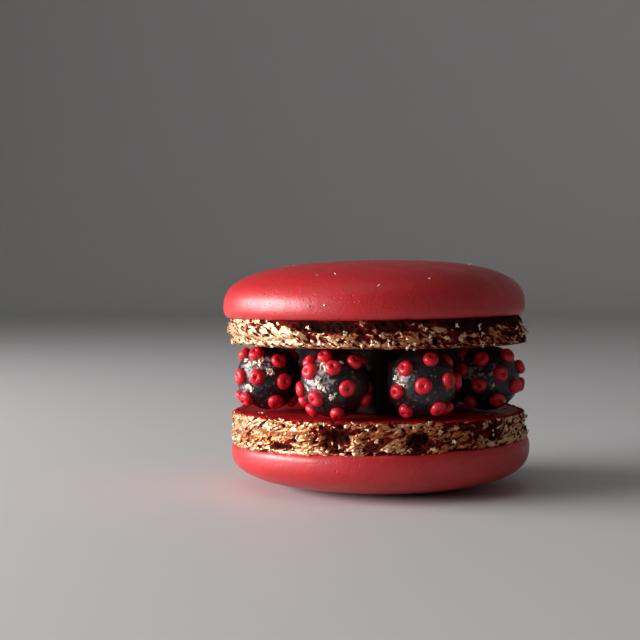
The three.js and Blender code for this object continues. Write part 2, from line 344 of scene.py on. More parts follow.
# Pale grey of the patches on the balls: bloom, and painted sheen on the balls at the front.
TRUFFLE_BLOOM_AND_SHEEN = (0.38, 0.285, 0.29, 1)
GANACHE_BROWN = ((0.010, 0.005, 0.005, 1), (0.018, 0.009, 0.008, 1))
FLOOR_PALE = (0.68, 0.675, 0.66, 1)
STUDIO_WHITE = (0.95, 0.95, 0.97, 1)

# The studio, in metres.
FLOOR_RADIUS = 1.1
FLOOR_COLUMNS = 96
SWEEP_RADIUS = 0.5
SWEEP_RISE = 1.1
SWEEP_STEPS = 16
LIGHTS_AIM = 0.018
STUDIO_GLOW = 0.11

# The rendered image is FRAME_PIXELS wide; its horizon and the macaron's axis lie off its middle.
FRAME_PIXELS = 640
FOCAL_PIXELS = 1324
HORIZON_ROW = 285
AXIS_COLUMN = 377
CAMERA_DISTANCE = 200
CAMERA_HEIGHT = 30.06
SENSOR_WIDTH = 36


# ---------------------------------------------------------------- meshes

def in_scene(name, data):
    """A new object in the scene, from its mesh, its light or its camera."""
    made = bpy.data.objects.new(name, data)
    bpy.context.scene.collection.objects.link(made)
    return made


def smooth_piece(mesh, material):
    mesh.polygons.foreach_set("use_smooth", [True] * len(mesh.polygons))
    mesh.materials.append(material)
    return in_scene(mesh.name, mesh)


def mesh_piece(name, points, faces, material):
    """A smooth mesh piece from points in millimetres."""
    mesh = bpy.data.meshes.new(name)
    mesh.from_pydata((np.asarray(points, float) * MM).tolist(), [], faces)
    return smooth_piece(mesh, material)


def face_outward(piece):
    """Turns every face of a closed piece outward."""
    bm = bmesh.new()
    bm.from_mesh(piece.data)
    bmesh.ops.recalc_face_normals(bm, faces=bm.faces)
    bm.to_mesh(piece.data)
    bm.free()
    return piece


def point_mask(piece, name, values):
    """Stores one number for each point, for the material to read."""
    layer = piece.data.attributes.new(name, "FLOAT", "POINT")
    layer.data.foreach_set("value", np.asarray(values, np.float32))


def settle(piece, slot, *nodes):
    """Puts a finished piece in the frame, in place of its CAD nodes."""
    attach(piece, "root")
    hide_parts(*nodes)


def softened(path):
    """Rounds the corners of an open path by cutting them twice, its two ends kept."""
    path = np.asarray(path, float)
    for _ in range(2):
        ahead = 0.75 * path[:-1] + 0.25 * path[1:]
        behind = 0.25 * path[:-1] + 0.75 * path[1:]
        path = np.vstack([path[:1], np.stack([ahead, behind], 1).reshape(-1, 2), path[-1:]])
    return path


def even_steps(path, step):
    """The same path, walked in even steps."""
    lengths = np.hypot(*np.diff(path, axis=0).T)
    along = np.concatenate([[0], np.cumsum(lengths)])
    at = np.linspace(0, along[-1], max(2, round(along[-1] / step) + 1))
    return np.stack([np.interp(at, along, path[:, i]) for i in range(2)], 1)


def turned(path, columns):
    """Points of a path of (radius, height) turned about Z, as rows by columns by 3."""
    angles = np.linspace(0, 2 * math.pi, columns, endpoint=False)
    radius, height = np.asarray(path, float).T[:, :, None]
    return np.stack([radius * np.cos(angles), radius * np.sin(angles), height + 0 * angles], 2)


def turned_faces(rows, columns, closed_path):
    """Quads between neighbouring rows, round and round; a closed path joins its last row to its first."""
    last = rows if closed_path else rows - 1
    row, column = np.meshgrid(np.arange(last), np.arange(columns), indexing="ij")
    below = row * columns
    above = (row + 1) % rows * columns
    ahead = (column + 1) % columns
    return np.stack([below + column, below + ahead, above + ahead, above + column], 2).reshape(-1, 4).tolist()


def pole_faces(rows, columns):
    """Triangles that close the first and the last row on a pole point each, which come after the rows."""
    first_pole = rows * columns
    last_row = (rows - 1) * columns
    faces = []
    for column in range(columns):
        ahead = (column + 1) % columns
        faces.append((first_pole, ahead, column))
        faces.append((first_pole + 1, last_row + column, last_row + ahead))
    return faces


def closed_faces(rows, columns):
    """Faces of rows that are closed on a pole at each end."""
    return turned_faces(rows, columns, False) + pole_faces(rows, columns)


def closed_turned_piece(name, rows, first_pole, last_pole, material):
    """A closed piece from rows of points with a pole at each end."""
    points = np.vstack([rows.reshape(-1, 3), [first_pole], [last_pole]])
    return face_outward(mesh_piece(name, points, closed_faces(*rows.shape[:2]), material))


def joined_piece(name, parts, material):
    """One piece from many closed parts, each given by its points and its faces."""
    faces, first = [], 0
    for points, own in parts:
        faces += [[first + corner for corner in face] for face in own]
        first += len(points)
    return face_outward(mesh_piece(name, np.vstack([points for points, _ in parts]), faces, material))


def soft_noise(points, size, seed):
    """A soft noise at every point, about -1 to 1, at a size in millimetres."""
    offset = Vector((seed, -seed, 0.5 * seed))
    return np.array([noise.noise(Vector(point) / size + offset) for point in points])


def layered_noise(points, layers, seed):
    """Soft noises added up, each given by its depth, its size and its own step from the seed."""
    return sum(depth * soft_noise(points, size, seed + step) for depth, size, step in layers)


def lobed(draw, angle, lobes):
    """Waves round a ring, each given by its depth and its number of lobes, and turned at random."""
    return sum(depth * np.cos(count * angle + draw.uniform(0, 6)) for depth, count in lobes)


def any_way(draw):
    """A random nudge, at most 1 along each axis."""
    return Vector([draw.uniform(-1, 1) for _ in range(3)])


def cells(points, size, seed):
    """For every point: the distances to its two nearest cell points, and where those are."""
    offset = Vector((seed, -seed, 0.5 * seed))
    near, far, near_at, far_at = [], [], [], []
    for point in points:
        distances, spots = noise.voronoi(Vector(point) / size + offset)
        near.append(distances[0])
        far.append(distances[1])
        near_at.append(spots[0])
        far_at.append(spots[1])
    return np.array(near), np.array(far), np.array(near_at), np.array(far_at), np.array(offset)


def crumple(points, size, seed, edge):
    """Foil pressed into tilted facets: the relief, about -1 to 1, how far each point is from the edge of
    its facet (0 on the edge, 1 from `edge` on), and one random number per facet."""
    near, far, near_at, far_at, offset = cells(points, size, seed)
    place = points / size + offset

    def facet(spots):
        tilt = np.array([noise.cell_vector(Vector(spot) * 7.31) for spot in spots]) * 2 - 1
        lift = np.array([noise.cell(Vector(spot) * 5.17) for spot in spots]) * 2 - 1
        return ((place - spots) * tilt).sum(1) * 1.6 + 0.45 * lift

    inside = np.clip((far - near) / edge, 0, 1)
    share = inside * 0.5 + 0.5
    relief = share * facet(near_at) + (1 - share) * facet(far_at)
    return relief, inside, np.array([noise.cell(Vector(spot) * 3.3) for spot in near_at])


# ---------------------------------------------------------------- materials

def node(tree, kind, **settings):
    made = tree.nodes.new(kind)
    for key, value in settings.items():
        setattr(made, key, value)
    return made


def plug(tree, value, socket):
    """Links a socket to another socket, or gives it a plain value."""
    if isinstance(value, bpy.types.NodeSocket):
        tree.links.new(value, socket)
    else:
        socket.default_value = value


def feed(tree, target, **inputs):
    """Plugs a node's inputs by name."""
    for key, value in inputs.items():
        plug(tree, value, target.inputs[key.replace("_", " ")])
    return target


def new_group(name, inputs, outputs):
    """An empty shader node group, with its input and output nodes."""
    group = bpy.data.node_groups.new(name, "ShaderNodeTree")
    for label, kind, value in inputs:
        socket = group.interface.new_socket(label, in_out="INPUT", socket_type=kind)
        socket.default_value = value
    for label, kind in outputs:
        group.interface.new_socket(label, in_out="OUTPUT", socket_type=kind)
    return group, node(group, "NodeGroupInput"), node(group, "NodeGroupOutput")


def place_of(tree):
    return node(tree, "ShaderNodeTexCoord").outputs["Object"]


def spread(tree, value, low, high, to_low=0.0, to_high=1.0):
    """The value carried from one range to another, smoothly."""
    ranged = node(tree, "ShaderNodeMapRange", interpolation_type="SMOOTHSTEP")
    feed(tree, ranged, Value=value, From_Min=low, From_Max=high, To_Min=to_low, To_Max=to_high)
    return ranged.outputs["Result"]


def blended(tree, share, first, second):
    """A colour between two, by share. The colour sockets go by number, because their names repeat."""
    mix = node(tree, "ShaderNodeMix", data_type="RGBA")
    plug(tree, share, mix.inputs[0])
    plug(tree, first, mix.inputs[6])
    plug(tree, second, mix.inputs[7])
    return mix.outputs[2]


def maths(tree, operation, first, second):
    made = node(tree, "ShaderNodeMath", operation=operation)
    plug(tree, first, made.inputs[0])
    plug(tree, second, made.inputs[1])
    return made.outputs["Value"]


def grain_of(tree, scale, detail, kind="FBM", **more):
    """A noise over the piece, as a value."""
    made = node(tree, "ShaderNodeTexNoise", noise_type=kind)
    feed(tree, made, Vector=place_of(tree), Scale=scale, Detail=detail, **more)
    return made.outputs["Fac"]


def mask_of(tree, name):
    """A number stored on the points of the piece."""
    return node(tree, "ShaderNodeAttribute", attribute_name=name).outputs["Fac"]


def pores_group():
    """Fine pores: a mask of small round holes, here and there."""
    group, given, out = new_group(
        "Fine pores",
        [("Scale", "NodeSocketFloat", 2500.0), ("Width", "NodeSocketFloat", 0.25),
         ("Patchiness", "NodeSocketFloat", 0.5)],
        [("Pores", "NodeSocketFloat")],
    )
    dots = node(group, "ShaderNodeTexVoronoi")
    feed(group, dots, Vector=place_of(group), Scale=given.outputs["Scale"])
    holes = spread(group, dots.outputs["Distance"], 0.0, given.outputs["Width"], 1.0, 0.0)
    patches = grain_of(group, maths(group, "MULTIPLY", given.outputs["Scale"], 0.31), 2.0)
    patches = spread(group, patches, given.outputs["Patchiness"], 0.75)
    plug(group, maths(group, "MULTIPLY", holes, patches), out.inputs["Pores"])
    return group


def mottle_group():
    """Soft mottling between two colours, with a second, finer grain on top."""
    group, given, out = new_group(
        "Mottling",
        [("Colour A", "NodeSocketColor", (1, 1, 1, 1)), ("Colour B", "NodeSocketColor", (0, 0, 0, 1)),
         ("Scale", "NodeSocketFloat", 400.0), ("Grain", "NodeSocketFloat", 0.3)],
        [("Colour", "NodeSocketColor"), ("Mask", "NodeSocketFloat")],
    )
    broad = grain_of(group, given.outputs["Scale"], 3.0, Roughness=0.6)
    fine = grain_of(group, maths(group, "MULTIPLY", given.outputs["Scale"], 7.3), 2.0)
    grain = maths(group, "MULTIPLY", spread(group, fine, 0.3, 0.7), given.outputs["Grain"])
    mask = maths(group, "ADD", spread(group, broad, 0.32, 0.68), grain)
    mask = maths(group, "MINIMUM", mask, 1.0)
    colour = blended(group, mask, given.outputs["Colour A"], given.outputs["Colour B"])
    plug(group, colour, out.inputs["Colour"])
    plug(group, mask, out.inputs["Mask"])
    return group


def strokes_group():
    """The fine wrinkles of crumpled leaf: short slanted strokes, some tight, some wide, that also carry
    painted crease shade.
    """
    group, given, out = new_group(
        "Leaf wrinkles",
        [("Scale", "NodeSocketFloat", 1200.0), ("Slant", "NodeSocketVector", (0.0, -0.4, 0.0))],
        [("Strokes", "NodeSocketFloat")],
    )
    slanted = node(group, "ShaderNodeMapping", vector_type="TEXTURE")
    feed(group, slanted, Vector=place_of(group), Rotation=given.outputs["Slant"], Scale=(1.5, 1.5, 0.42))
    wrinkles = node(group, "ShaderNodeTexNoise")
    feed(group, wrinkles, Vector=slanted.outputs["Vector"], Scale=given.outputs["Scale"], Detail=3.0)
    feed(group, wrinkles, Roughness=0.55, Distortion=0.5)
    plug(group, spread(group, wrinkles.outputs["Fac"], 0.51, 0.58), out.inputs["Strokes"])
    return group


PORES = pores_group()
MOTTLE = mottle_group()
STROKES = strokes_group()


def new_material(name, **fixed):
    """A material with its Principled shader, whose fixed values are set on its own sockets."""
    material = bpy.data.materials.new(name)
    material.use_nodes = True
    tree = material.node_tree
    shader = tree.nodes["Principled BSDF"]
    for key, value in fixed.items():
        shader.inputs[key.replace("_", " ")].default_value = value
    return material, tree, shader


def use_group(tree, group, **values):
    made = node(tree, "ShaderNodeGroup", node_tree=group)
    return feed(tree, made, **values)


def mottled(tree, colours, scale, grain=0.3):
    """Mottling between a lighter and a darker colour: its colour and its mask."""
    light, dark = colours
    made = use_group(tree, MOTTLE, Colour_A=light, Colour_B=dark, Scale=scale, Grain=grain)
    return made.outputs["Colour"], made.outputs["Mask"]


def roughen(tree, shader, mask, where_none, where_full):
    """Roughness between two values, by a mask."""
    plug(tree, spread(tree, mask, 0.0, 1.0, where_none, where_full), shader.inputs["Roughness"])


def bump(tree, shader, height, distance):
    made = node(tree, "ShaderNodeBump")
    feed(tree, made, Height=height, Distance=distance, Strength=1.0)
    plug(tree, made.outputs["Normal"], shader.inputs["Normal"])


def baked_shell(name, colours, shine):
    """Smooth baked almond shell: satin, mottled, with fine pores painted darker as shade, and a soft
    orange-peel skin.
    """
    material, tree, shader = new_material(
        name, Specular_IOR_Level=shine, Coat_Weight=0.5 * shine, Coat_Roughness=0.28
    )
    colour, mask = mottled(tree, colours, 330.0)
    pores = use_group(tree, PORES, Scale=1500.0, Width=0.28, Patchiness=0.36)
    pinholes = use_group(tree, PORES, Scale=3100.0, Width=0.34, Patchiness=0.40)
    pitted = maths(tree, "MAXIMUM", pores.outputs["Pores"], pinholes.outputs["Pores"])
    # Painted shade: the colour is darkened in the pores.
    red, green, blue, _ = colours[1]
    pore_shade = (red * 0.45, green * 0.4, blue * 0.4, 1)
    colour = blended(tree, maths(tree, "MULTIPLY", pitted, 0.8), colour, pore_shade)
    plug(tree, colour, shader.inputs["Base Color"])
    roughen(tree, shader, mask, 0.40, 0.52)
    skin = maths(tree, "MULTIPLY", grain_of(tree, 900.0, 4.0, Roughness=0.6), 0.7)
    bump(tree, shader, maths(tree, "SUBTRACT", skin, pitted), 0.0001)
    return material


def leafed_crumb(name, slant):
    """Gold leaf over the crumb of a foot: metal where the leaf holds, red crumb where it tore, and painted
    shade in its creases and hollows.
    """
    material, tree, shader = new_material(name, Specular_IOR_Level=0.03)
    held, tone, baked = [mask_of(tree, mask) for mask in ("leaf", "tone", "baked")]
    strokes = use_group(tree, STROKES, Scale=1050.0, Slant=(0.0, slant, 0.0)).outputs["Strokes"]
    frayed = maths(tree, "ADD", held, maths(tree, "MULTIPLY", grain_of(tree, 2600.0, 3.0), 0.4))
    # Painted shade in the creases: the leaf gives way to crumb along the wrinkle strokes.
    frayed = maths(tree, "SUBTRACT", frayed, maths(tree, "MULTIPLY", strokes, 0.6))
    leaf = spread(tree, frayed, 0.56, 0.66)
    pale, copper, crumb = [mottled(tree, pair, 900.0)[0] for pair in (PALE_LEAF, COPPER_LEAF, CRUMB_RED)]
    # Painted shade in the creases: the gold turns copper along the wrinkle strokes.
    shaded = maths(tree, "SUBTRACT", tone, maths(tree, "MULTIPLY", strokes, 0.45))
    gold = blended(tree, spread(tree, shaded, 0.1, 0.6), copper, pale)
    # Painted shadow: the bare crumb goes near black where the leaf holds least, in the hollows and gaps and
    # under the lip.
    shadowed = blended(tree, spread(tree, held, 0.0, 0.25), CRUMB_SHADOW, crumb)
    bare = blended(tree, baked, shadowed, BAKED_RIM)
    plug(tree, blended(tree, leaf, bare, gold), shader.inputs["Base Color"])
    plug(tree, maths(tree, "MULTIPLY", leaf, 0.78), shader.inputs["Metallic"])
    roughen(tree, shader, leaf, 0.7, 0.40)
    fine = maths(tree, "MULTIPLY", grain_of(tree, 1500.0, 3.0, "RIDGED_MULTIFRACTAL"), 0.3)
    bump(tree, shader, maths(tree, "SUBTRACT", fine, strokes), 0.00011)
    return material


def loose_leaf(name, colours):
    """Loose scraps of gold leaf."""
    material, tree, shader = new_material(name, Metallic=0.5)
    colour, mask = mottled(tree, colours, 420.0, 0.25)
    plug(tree, colour, shader.inputs["Base Color"])
    roughen(tree, shader, mask, 0.38, 0.5)
    bump(tree, shader, grain_of(tree, 1800.0, 2.0, "RIDGED_MULTIFRACTAL"), 0.00004)
    return material


def dark_truffle():
    """Dark chocolate skin, crinkled and pitted, with pale grey patches of bloom and painted sheen on its high
    spots, and pores painted darker as shade.
    """
    material, tree, shader = new_material(
        "dark_truffle", Specular_IOR_Level=0.3, Coat_Weight=0.35, Coat_Roughness=0.24
    )
    dark, _ = mottled(tree, TRUFFLE_DARK, 650.0)
    specks = maths(tree, "MULTIPLY", grain_of(tree, 1900.0, 4.0, Roughness=0.65), 1.6)
    bloom_and_sheen_share = maths(tree, "MULTIPLY", mask_of(tree, "bloom_and_sheen"), 0.32)
    bloom_and_sheen = spread(tree, maths(tree, "ADD", bloom_and_sheen_share, specks), 0.92, 1.28)
    pores = use_group(tree, PORES, Scale=1500.0, Width=0.32, Patchiness=0.42).outputs["Pores"]
    # Painted shade in the pores: they stay near black over the pale patches as well.
    colour = blended(tree, pores, blended(tree, bloom_and_sheen, dark, TRUFFLE_BLOOM_AND_SHEEN), TRUFFLE_PIT_SHADE)
    plug(tree, colour, shader.inputs["Base Color"])
    roughen(tree, shader, bloom_and_sheen, 0.40, 0.50)
    skin = maths(tree, "MULTIPLY", grain_of(tree, 1500.0, 4.0, Roughness=0.6), 0.6)
    bump(tree, shader, maths(tree, "SUBTRACT", skin, pores), 0.00014)
    return material


def sugar_pearl():
    """Red sugar pearl, satin, a little darker in patches."""
    material, tree, shader = new_material("sugar_pearl", Specular_IOR_Level=0.42)
    colour, mask = mottled(tree, PEARL_RED, 900.0)
    plug(tree, colour, shader.inputs["Base Color"])
    roughen(tree, shader, mask, 0.26, 0.36)
    bump(tree, shader, grain_of(tree, 2600.0, 3.0), 0.00004)
    return material


def ganache():
    """Dark ganache, soft satin, with faint spreading marks."""
    material, tree, shader = new_material("ganache", Specular_IOR_Level=0.2)
    colour, mask = mottled(tree, GANACHE_BROWN, 300.0)
    plug(tree, colour, shader.inputs["Base Color"])
    roughen(tree, shader, mask, 0.6, 0.75)
    bump(tree, shader, grain_of(tree, 900.0, 4.0), 0.0001)
    return material


# ---------------------------------------------------------------- shells

def quarter(radius, rise, bluntness, rows):
    """A quarter superellipse from its widest ring up to its apex, as (radius, height)."""
    t = np.linspace(0, math.pi / 2, rows)
    return np.stack([radius * np.cos(t) ** (2 / bluntness), rise * np.sin(t) ** (2 / bluntness)], 1)


def cap_path(shell):
    """From the middle of the cap's underside out round its lip and over its dome, ending at the apex."""
    radius, rise = shell["cap_radius"], shell["cap_rise"]
    widest, lip_height = shell["widest"], shell["lip_height"]
    dome = quarter(radius, rise, shell["cap_bluntness"], DOME_SAMPLES) + (0, widest)
    dome = even_steps(dome, (radius + rise) / CAP_ROWS)[:-1]
    drop = quarter(1, widest - lip_height, 2, LIP_ROWS)[1:]
    lip = np.stack([radius - shell["lip_inset"] * (1 - drop[:, 0]), widest - drop[:, 1]], 1)[::-1]
    rings = np.linspace(UNDERSIDE_CENTRE, lip[0][0] - UNDERSIDE_GAP, UNDERSIDE_ROWS)
    under = [(ring, lip_height) for ring in rings]
    return np.vstack([under, lip, dome]), lip_height, widest + rise


def placed_in_shell(points, shell, tilt, shift):
    """Points of a shell, cap up and rim at 0, put where the frame has the shell."""
    low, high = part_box(shell["node"])
    rim = (high.z if shell["cap_down"] else low.z) / MM
    turn = Matrix.Rotation(math.radians(tilt), 3, "Y")
    points = points @ np.array(turn).T + (shift, 0, 0)
    if shell["cap_down"]:
        points = points * (1, -1, -1)
    return points + (0, 0, rim)


def foot_placed(points, shell):
    """Points of a foot leaned to one side and pressed flatter where the lip is nearer the rim, in place."""
    height = points[:, 2:]
    pressed = shell["lip_lean"] * points[:, :1] / (shell["cap_radius"] * shell["lip_height"])
    lean = np.hstack([shell["foot_lean"] * height, 0 * height, -pressed * height])
    dropped = points + lean - (0, 0, shell["foot_drop"])
    return placed_in_shell(dropped, shell, -shell["foot_tilt"], shell["foot_shift"])


def cap_placed(points, shell):
    return placed_in_shell(points, shell, -shell["cap_tilt"], shell["cap_shift"])


def make_cap(shell, material):
    """The smooth part of a shell: its dome, its underside, and a rounded lip that may lift on the left."""
    path, under, apex = cap_path(shell)
    rows = turned(path, CAP_COLUMNS)
    points = rows.reshape(-1, 3)
    sideways = points * (1, 1, 0) / shell["cap_radius"]
    swell = CAP_SWELL * soft_noise(points, CAP_SWELL_SIZE, shell["seed"])
    dents = layered_noise(points, CAP_DENTS, shell["seed"])
    outside = np.hypot(*points[:, :2].T) > LIP_INSIDE
    lip_share = np.clip((shell["widest"] + LIP_TOP - points[:, 2]) / LIP_FADE, 0, 1) * outside
    wave = LIP_WAVE * soft_noise(points * (1, 1, 0), LIP_WAVE_SIZE, shell["seed"] + 9) * lip_share
    lift = shell["lip_lift"] * lip_share * np.clip(-sideways[:, 0] * 1.6 - 0.4, 0, 1)
    lean = shell["lip_lean"] * sideways[:, 0] * (apex - points[:, 2]) / (apex - shell["lip_height"])
    points = points + sideways * swell[:, None]
    points[:, 2] += wave + lift - lean + dents * np.clip(1 - lip_share, 0, 1)
    poles = np.array([[0, 0, under], [0, 0, apex]], float)
    if shell["cap_down"]:
        low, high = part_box(shell["node"])
        pressed_at = (high.z - low.z) / MM
        points[:, 2] = np.minimum(points[:, 2], pressed_at)
        poles[1, 2] = pressed_at
    points = cap_placed(points, shell).reshape(rows.shape)
    piece = closed_turned_piece(f"{shell['name']}_cap", points, *cap_placed(poles, shell), material)
    settle(piece, "shell_red", shell["node"])


def foot_path(shell):
    """The visible side of a foot, from inside its rim out and up under the cap."""
    dish = shell["face_dish"]
    start = [(FACE_RADIUS - FOOT_TUCK, dish), (FACE_RADIUS, dish)]
    rim = [(FACE_RADIUS + RIM_EDGE, RIM_EDGE_HEIGHT), (RIM_RADIUS, 0.0)]
    top_radius, top_height = shell["bands"][-1]
    under_cap = [(top_radius - FOOT_SINK, top_height + FOOT_SINK)]
    path = softened(start + rim + shell["bands"] + under_cap)
    return even_steps(path, FOOT_STEP)


def near_spots(shell, points, spots):
    """How much each point belongs to the nearest of some uneven spots, each given by its turn from the
    front, its height, and half its width in degrees and half its height."""
    front = points[:, 1] if shell["cap_down"] else -points[:, 1]
    turns = np.degrees(np.arctan2(points[:, 0], front))
    ragged = SPOT_RAGGED * soft_noise(points, SPOT_RAGGED_SIZE, shell["seed"] + 8)
    share = np.zeros(len(points))
    for turn, height, half_turn, half_height in spots:
        aside = (turns - turn + 180) % 360 - 180
        away = np.hypot(aside / half_turn, (points[:, 2] - height) / half_height) + ragged
        share = np.maximum(share, np.clip(SPOT_REACH - away, 0, 1))
    return share


def leafed_relief(shell, points):
    """Crumb under crumpled leaf: the relief, how well the leaf holds, and how pale each sheet of it is."""
    seed = shell["seed"]
    flat = points * CRUMB_STRETCH
    warp = np.stack([soft_noise(points, WARP_SIZE, seed + 20 + axis) for axis in range(3)], 1)
    drift = STREAK_DRIFT * soft_noise(points, STREAK_DRIFT_SIZE, seed + 9)
    streaked = points * STREAK_STRETCH + np.outer(drift + STREAK_SLANT * points[:, 0], (0, 0, 1))
    flake_place = points * FLAKE_STRETCH + 0.35 * warp
    flakes, inside, shade = crumple(flake_place, FLAKE_SIZE, seed + 2, FLAKE_EDGE)
    hollow = np.zeros(len(points))
    for *spot, depth in shell["hollows"]:
        hollow = np.maximum(hollow, depth * near_spots(shell, points, [spot]))
    covered = near_spots(shell, points, shell["covered"])
    gaps = -GAP_DEPTH * np.clip(soft_noise(flat, GAP_SIZE, seed + 4) - GAP_FROM, 0, 1)
    found = {
        "bubbles": BUBBLE_DEPTH * (0.5 - cells(flat, BUBBLE_SIZE, seed)[0]),
        "flakes": flakes,
        "cracks": 1 - inside,
        "creases": CREASE_DEPTH * crumple(points + 0.3 * warp, CREASE_SIZE, seed + 3, CREASE_EDGE)[0],
        "folds": shell["leaf_folds"] * (0.35 - np.abs(soft_noise(streaked, FOLD_SIZE, seed + 5)) * 2.2),
        "gaps": gaps * (1 - 0.6 * covered),
        "torn": soft_noise(streaked, TEAR_SIZE, seed + 6) * (1 - 0.7 * covered),
        "under_lip": np.clip((points[:, 2] - shell["bare_above"]) / UNDER_LIP_FADE, 0, 1),
        "hollow": hollow,
        "covered": covered,
        "coppered": near_spots(shell, points, shell["coppered"]),
        "shade": shade,
    }
    relief = found["bubbles"] + CLUMP_DEPTH * soft_noise(flat, CLUMP_SIZE, seed + 1) + found["creases"]
    relief += FLAKE_DEPTH * flakes - CRACK_DEPTH * found["cracks"] + found["folds"] + found["gaps"]
    relief = np.where(relief > 0, RELIEF_LIMIT * np.tanh(relief / RELIEF_LIMIT), relief)
    hold = shell["leaf_cover"] + sum(share * found[name] for name, share in HOLD_BY.items())
    tone = 0.5 + shell["leaf_paleness"] + sum(share * found[name] for name, share in PALE_BY.items())
    return relief - RELIEF_SINK - hollow, hold, tone


def make_foot(shell, material):
    """The frilled foot of a shell, crumb and leaf in one skin, closed by one more row behind it."""
    path = foot_path(shell)
    rows = turned(path, FOOT_COLUMNS)
    points = rows.reshape(-1, 3)
    slope = np.gradient(path, axis=0)
    slope /= np.hypot(*slope.T)[:, None]
    radius = np.hypot(*points[:, :2].T)
    normal = points * (1, 1, 0) / radius[:, None] * np.repeat(slope[:, 1], FOOT_COLUMNS)[:, None]
    normal[:, 2] = np.repeat(-slope[:, 0], FOOT_COLUMNS)

    relief, hold, tone = leafed_relief(shell, points)
    height = points[:, 2]
    from_face = radius - FACE_RADIUS
    past_start = from_face + 1.5 * np.clip(height - 0.1, 0, 1) - shell["leaf_from"]
    past_start += LEAF_EDGE_WAVE * soft_noise(points, LEAF_EDGE_WAVE_SIZE, shell["seed"] + 12)
    started = np.clip(past_start / LEAF_EDGE, 0, 1)
    baked = (1 - started) * (height < BAKED_BELOW)
    points = points + normal * (relief * np.clip((from_face - RELIEF_FROM) / RELIEF_FADE, 0, 1))[:, None]
    points[:, 2] = np.maximum(points[:, 2], LOWEST_CRAG)
    behind = turned([(FACE_RADIUS - FOOT_TUCK, shell["bands"][-1][1] + FOOT_SINK)], FOOT_COLUMNS)
    points = foot_placed(np.vstack([points, behind.reshape(-1, 3)]), shell)
    faces = turned_faces(len(rows) + 1, FOOT_COLUMNS, True)
    piece = face_outward(mesh_piece(f"{shell['name']}_foot", points, faces, material))
    for name, values in (("leaf", hold * started), ("tone", tone), ("baked", baked)):
        point_mask(piece, name, np.concatenate([values, np.zeros(FOOT_COLUMNS)]))
    settle(piece, "gold_leaf", shell["node"])


def make_face(shell, material):
    """The flat inner face of a shell, a shallow disc inside the rim of the foot."""
    radius = FACE_RADIUS + FACE_OVERLAP
    dish = shell["face_dish"]
    back = dish + FACE_THICKNESS
    radii = np.linspace(FACE_CENTRE, radius, FACE_ROWS)
    sag = dish * (1 - 0.5 * np.clip((radii - FACE_RADIUS + 0.9) / 1.2, 0, 1) ** 2)
    rows = turned([*zip(radii, sag), (radius, back), (FACE_CENTRE, back)], FACE_COLUMNS)
    points = rows.reshape(-1, 3)
    points[:, 2] += layered_noise(points, FACE_DENTS, shell["seed"])
    points = foot_placed(points, shell).reshape(rows.shape)
    poles = foot_placed(np.array([[0, 0, dish], [0, 0, back]]), shell)
    piece = closed_turned_piece(f"{shell['name']}_face", points, *poles, material)
    settle(piece, "shell_red", shell["node"])


# ---------------------------------------------------------------- filling

def direction(turn, tilt):
    """A unit vector from a turn about Z, counted from the front, and a tilt above the level, in degrees."""
    level = math.cos(math.radians(tilt))
    return Vector((
        level * math.sin(math.radians(turn)),
        -level * math.cos(math.radians(turn)),
        math.sin(math.radians(tilt)),
    ))


def ball_centre(turn):
    return direction(turn, 0) * RING_RADIUS + Vector((RING_SHIFT, 0, BALL_HEIGHT))


def spiral_directions(start):
    """Even directions over a sphere on the golden-angle spiral, taken by a stride."""
    found = []
    for i in range(SPIRAL_STEPS):
        step = (i * SPIRAL_STRIDE + start) % SPIRAL_STEPS
        height = 1 - (2 * step + 1) / SPIRAL_STEPS
        found.append(direction(step * GOLDEN_ANGLE, math.degrees(math.asin(height))))
    return found


def place_pearls():
    """The pearls of each ball as (direction, size): the placed ones, then every spiral direction that
    keeps its distance."""
    draw = random.Random(23)
    centres = [ball_centre(turn) for turn, _, _ in BALLS]
    pearls = [[(direction(turn, tilt), size) for turn, tilt, size in placed] for _, _, placed in BALLS]
    clear_of_ball = BALL_RADIUS + PEARL_RADIUS + PEARL_CLEARANCE
    clear_of_pearl = 2 * PEARL_RADIUS + PEARL_CLEARANCE

    def clear_of_others(k, way):
        point = way * BALL_RADIUS + centres[k]
        for other, centre in enumerate(centres):
            if other == k:
                continue
            if (point - centre).length < clear_of_ball:
                return False
            gaps = [(point - taken * BALL_RADIUS - centre).length for taken, _ in pearls[other]]
            if any(gap <= clear_of_pearl for gap in gaps):
                return False
        return True

    for k, (_, (first, last), _) in enumerate(BALLS):
        for way in spiral_directions(k * SPIRAL_BALL_OFFSET):
            filled = first <= math.degrees(math.atan2(way.x, -way.y)) % 360 <= last
            steep = abs(way.z) > math.sin(math.radians(PEARL_STEEPEST))
            crowded = any(taken.angle(way) < math.radians(PEARL_SPACING) for taken, _ in pearls[k])
            if filled and not steep and not crowded and clear_of_others(k, way):
                pearls[k].append((way, draw.uniform(*PEARL_SIZES)))
    return centres, pearls


def bloom_and_sheen_spots(k):
    """Where a ball has pale patches, as (direction, half its spread): the placed spots of bloom and painted
    sheen, or else random ones of bloom.
    """
    placed = [(direction(turn, tilt), half) for ball, turn, tilt, half in BLOOM_AND_SHEEN_SPOTS if ball == k]
    if placed:
        return placed
    draw = random.Random(90 + k)
    return [
        (direction(draw.uniform(0, 360), draw.uniform(-30, 50)), draw.uniform(9, 22))
        for _ in range(RANDOM_BLOOM_SPOTS)
    ]


